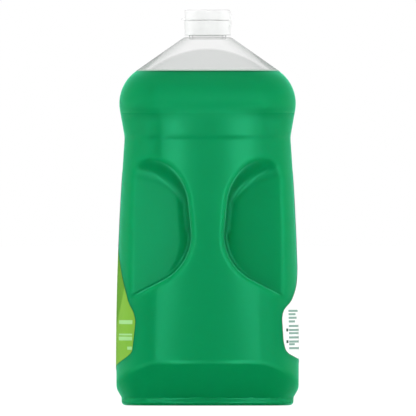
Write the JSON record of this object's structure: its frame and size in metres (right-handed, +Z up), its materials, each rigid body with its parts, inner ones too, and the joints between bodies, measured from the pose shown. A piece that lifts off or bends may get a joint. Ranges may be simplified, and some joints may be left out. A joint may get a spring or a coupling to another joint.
{
  "type": "dish soap bottle",
  "caption": "Large clear plastic dish soap bottle with pinch grips in its sides, filled with green liquid, with film labels and a white screw closure with a flip lid.",
  "frame": {"origin": "centre of the foot, on the surface that the bottle stands on", "axes": "+Z up along the neck, front label faces -Y, width along X"},
  "size_m": [0.1338, 0.1251, 0.2702],
  "materials": {
    "clear_plastic": "gloss",
    "green_liquid": "gloss",
    "lime_film": "gloss",
    "white_film": "gloss",
    "white_foam": "matte",
    "white_plastic": "satin"
  },
  "bodies": {
    "container": {"bottle": "clear_plastic", "dish_liquid": "green_liquid", "front_label": "lime_film", "back_label": "white_film"},
    "seal": {"seal_ring": "white_foam"},
    "closure": {"cap_base": "white_plastic"},
    "lid": {"flip_lid": "white_plastic"}
  },
  "joints": [
    {"name": "cap_rise", "type": "slide", "parent": "container", "child": "seal", "axis": [0, 0, 1], "range_m": [0, 0.0053]},
    {"name": "cap_turn", "type": "hinge", "parent": "seal", "child": "closure", "pos_m": [0, 0, 0.2616], "axis": [0, 0, 1], "range_deg": [0, 450]},
    {"name": "lid_hinge", "type": "hinge", "parent": "closure", "child": "lid", "pos_m": [0, 0.0163, 0.26305], "axis": [-1, 0, 0], "range_deg": [0, 150]}
  ],
  "couplings": [
    {"joint": "cap_rise", "follows": "cap_turn", "m_per_rad": 0.00067376}
  ]
}
